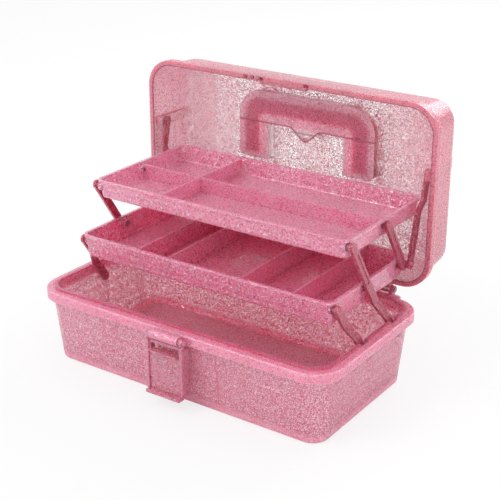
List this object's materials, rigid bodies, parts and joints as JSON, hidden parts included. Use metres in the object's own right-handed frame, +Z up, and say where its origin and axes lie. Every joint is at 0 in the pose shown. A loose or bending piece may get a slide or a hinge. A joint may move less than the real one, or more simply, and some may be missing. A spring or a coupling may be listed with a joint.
{
  "type": "fold-out craft storage box",
  "caption": "Plastic craft storage box with a hinged lid that lifts two cantilever trays up and back as it opens, a front latch and a folding carry handle.",
  "frame": {"origin": "centre of the tub's underside, on the surface that the box stands on", "axes": "+X along the box to the right as seen from the latch side, +Y towards the hinges, +Z up; shown open"},
  "size_m": [0.33, 0.2507, 0.266],
  "materials": {
    "shell_pink": "translucent pink with fine glitter",
    "lid_pink": "translucent pale pink with fine glitter",
    "tray_pink": "satin rose pink",
    "arm_rose": "satin dusty rose",
    "latch_pink": "translucent pink with fine glitter",
    "handle_rose": "satin dusty rose",
    "steel": "plain drawn wire"
  },
  "bodies": {
    "base": {"base_tub": "shell_pink", "latch_pin": "shell_pink", "hinge_pin_left": "steel", "hinge_pin_right": "steel"},
    "lid": {"lid_shell": "lid_pink"},
    "lower_tray": {"lower_tray": "tray_pink", "lower_tray_divider_1": "tray_pink", "lower_tray_divider_2": "tray_pink", "lower_tray_divider_3": "tray_pink", "lower_tray_divider_4": "tray_pink"},
    "upper_tray": {"upper_tray": "tray_pink"},
    "latch": {"front_latch": "latch_pink"},
    "handle": {"carry_handle": "handle_rose"},
    "long_arm_left": {"long_arm_left": "arm_rose"},
    "long_arm_right": {"long_arm_right": "arm_rose"},
    "front_arm_left": {"front_arm_left": "arm_rose"},
    "front_arm_right": {"front_arm_right": "arm_rose"},
    "rear_arm_left": {"rear_arm_left": "arm_rose"},
    "rear_arm_right": {"rear_arm_right": "arm_rose"},
    "lid_link_left": {"lid_link_left": "arm_rose"},
    "lid_link_right": {"lid_link_right": "arm_rose"}
  },
  "joints": [
    {"name": "lid_hinge", "type": "hinge", "parent": "base", "child": "lid", "pos_m": [0, 0.0972, 0.0788], "axis": [1, 0, 0], "range_deg": [0, 90]},
    {"name": "long_arm_left_foot", "type": "hinge", "parent": "base", "child": "long_arm_left", "pos_m": [0, 0.0525, 0.059], "axis": [1, 0, 0], "range_deg": [0, 34.1]},
    {"name": "front_arm_left_foot", "type": "hinge", "parent": "base", "child": "front_arm_left", "pos_m": [0, -0.002, 0.059], "axis": [1, 0, 0], "range_deg": [0, 34.1]},
    {"name": "long_arm_right_foot", "type": "hinge", "parent": "base", "child": "long_arm_right", "pos_m": [0, 0.0525, 0.059], "axis": [1, 0, 0], "range_deg": [0, 34.1]},
    {"name": "front_arm_right_foot", "type": "hinge", "parent": "base", "child": "front_arm_right", "pos_m": [0, -0.002, 0.059], "axis": [1, 0, 0], "range_deg": [0, 34.1]},
    {"name": "lower_tray_pivot", "type": "hinge", "parent": "long_arm_right", "child": "lower_tray", "pos_m": [0, 0.0171, 0.11351], "axis": [1, 0, 0], "range_deg": [-34.1, 0]},
    {"name": "upper_tray_pivot", "type": "hinge", "parent": "long_arm_right", "child": "upper_tray", "pos_m": [0, -0.01558, 0.16383], "axis": [1, 0, 0], "range_deg": [-34.1, 0]},
    {"name": "rear_arm_left_foot", "type": "hinge", "parent": "lower_tray", "child": "rear_arm_left", "pos_m": [0, 0.0801, 0.11351], "axis": [1, 0, 0], "range_deg": [0, 34.1]},
    {"name": "lid_link_left_top", "type": "hinge", "parent": "lid", "child": "lid_link_left", "pos_m": [0, 0.10565, 0.1987], "axis": [1, 0, 0], "range_deg": [0, 12]},
    {"name": "rear_arm_right_foot", "type": "hinge", "parent": "lower_tray", "child": "rear_arm_right", "pos_m": [0, 0.0801, 0.11351], "axis": [1, 0, 0], "range_deg": [0, 34.1]},
    {"name": "lid_link_right_top", "type": "hinge", "parent": "lid", "child": "lid_link_right", "pos_m": [0, 0.10565, 0.1987], "axis": [1, 0, 0], "range_deg": [0, 12]},
    {"name": "latch_hinge", "type": "hinge", "parent": "base", "child": "latch", "pos_m": [0, -0.0945, 0.07], "axis": [-1, 0, 0], "range_deg": [0, 180]},
    {"name": "handle_hinge", "type": "hinge", "parent": "lid", "child": "handle", "pos_m": [0, 0.1437, 0.176], "axis": [-1, 0, 0], "range_deg": [0, 90]}
  ],
  "couplings": [
    {"joint": "long_arm_left_foot", "follows": "lid_hinge", "ratio": 0.37778},
    {"joint": "front_arm_left_foot", "follows": "lid_hinge", "ratio": 0.37778},
    {"joint": "long_arm_right_foot", "follows": "lid_hinge", "ratio": 0.37778},
    {"joint": "front_arm_right_foot", "follows": "lid_hinge", "ratio": 0.37778},
    {"joint": "lower_tray_pivot", "follows": "lid_hinge", "ratio": -0.37778},
    {"joint": "upper_tray_pivot", "follows": "lid_hinge", "ratio": -0.37778},
    {"joint": "rear_arm_left_foot", "follows": "lid_hinge", "ratio": 0.37778},
    {"joint": "lid_link_left_top", "follows": "lid_hinge", "ratio": 0.1321},
    {"joint": "rear_arm_right_foot", "follows": "lid_hinge", "ratio": 0.37778},
    {"joint": "lid_link_right_top", "follows": "lid_hinge", "ratio": 0.1321}
  ]
}
